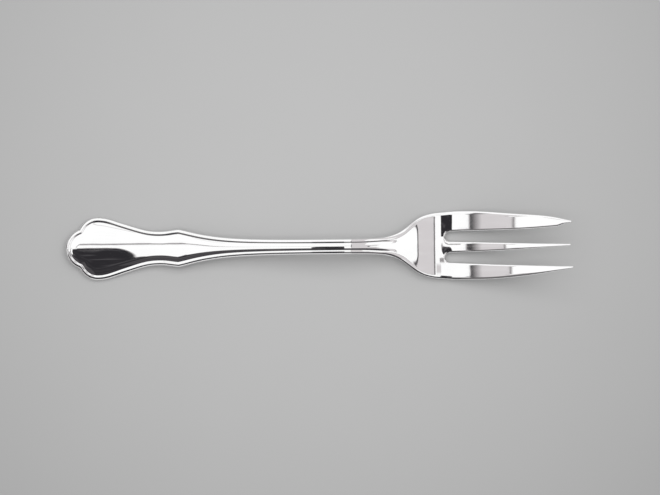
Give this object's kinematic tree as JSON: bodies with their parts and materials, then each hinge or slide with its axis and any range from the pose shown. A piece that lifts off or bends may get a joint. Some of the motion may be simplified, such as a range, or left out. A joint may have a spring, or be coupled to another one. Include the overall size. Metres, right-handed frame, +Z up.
{
  "type": "pastry fork",
  "caption": "Three-tine pastry fork in one polished pressing, with a wide cutting tine, an arched shank and a lobed handle edged by a bead and a groove.",
  "frame": {"origin": "on the table surface, below the middle of the fork", "axes": "+X towards the tine tips, +Y towards the wide cutting tine, +Z up from the table through the face"},
  "size_m": [0.15, 0.0204, 0.0124],
  "materials": {
    "polished_metal": "mirror polished stainless steel or silver plate"
  },
  "bodies": {
    "root": {"handle": "polished_metal", "shank": "polished_metal", "neck": "polished_metal", "root": "polished_metal", "cutting_tine": "polished_metal", "middle_tine": "polished_metal", "outer_tine": "polished_metal"}
  },
  "joints": []
}
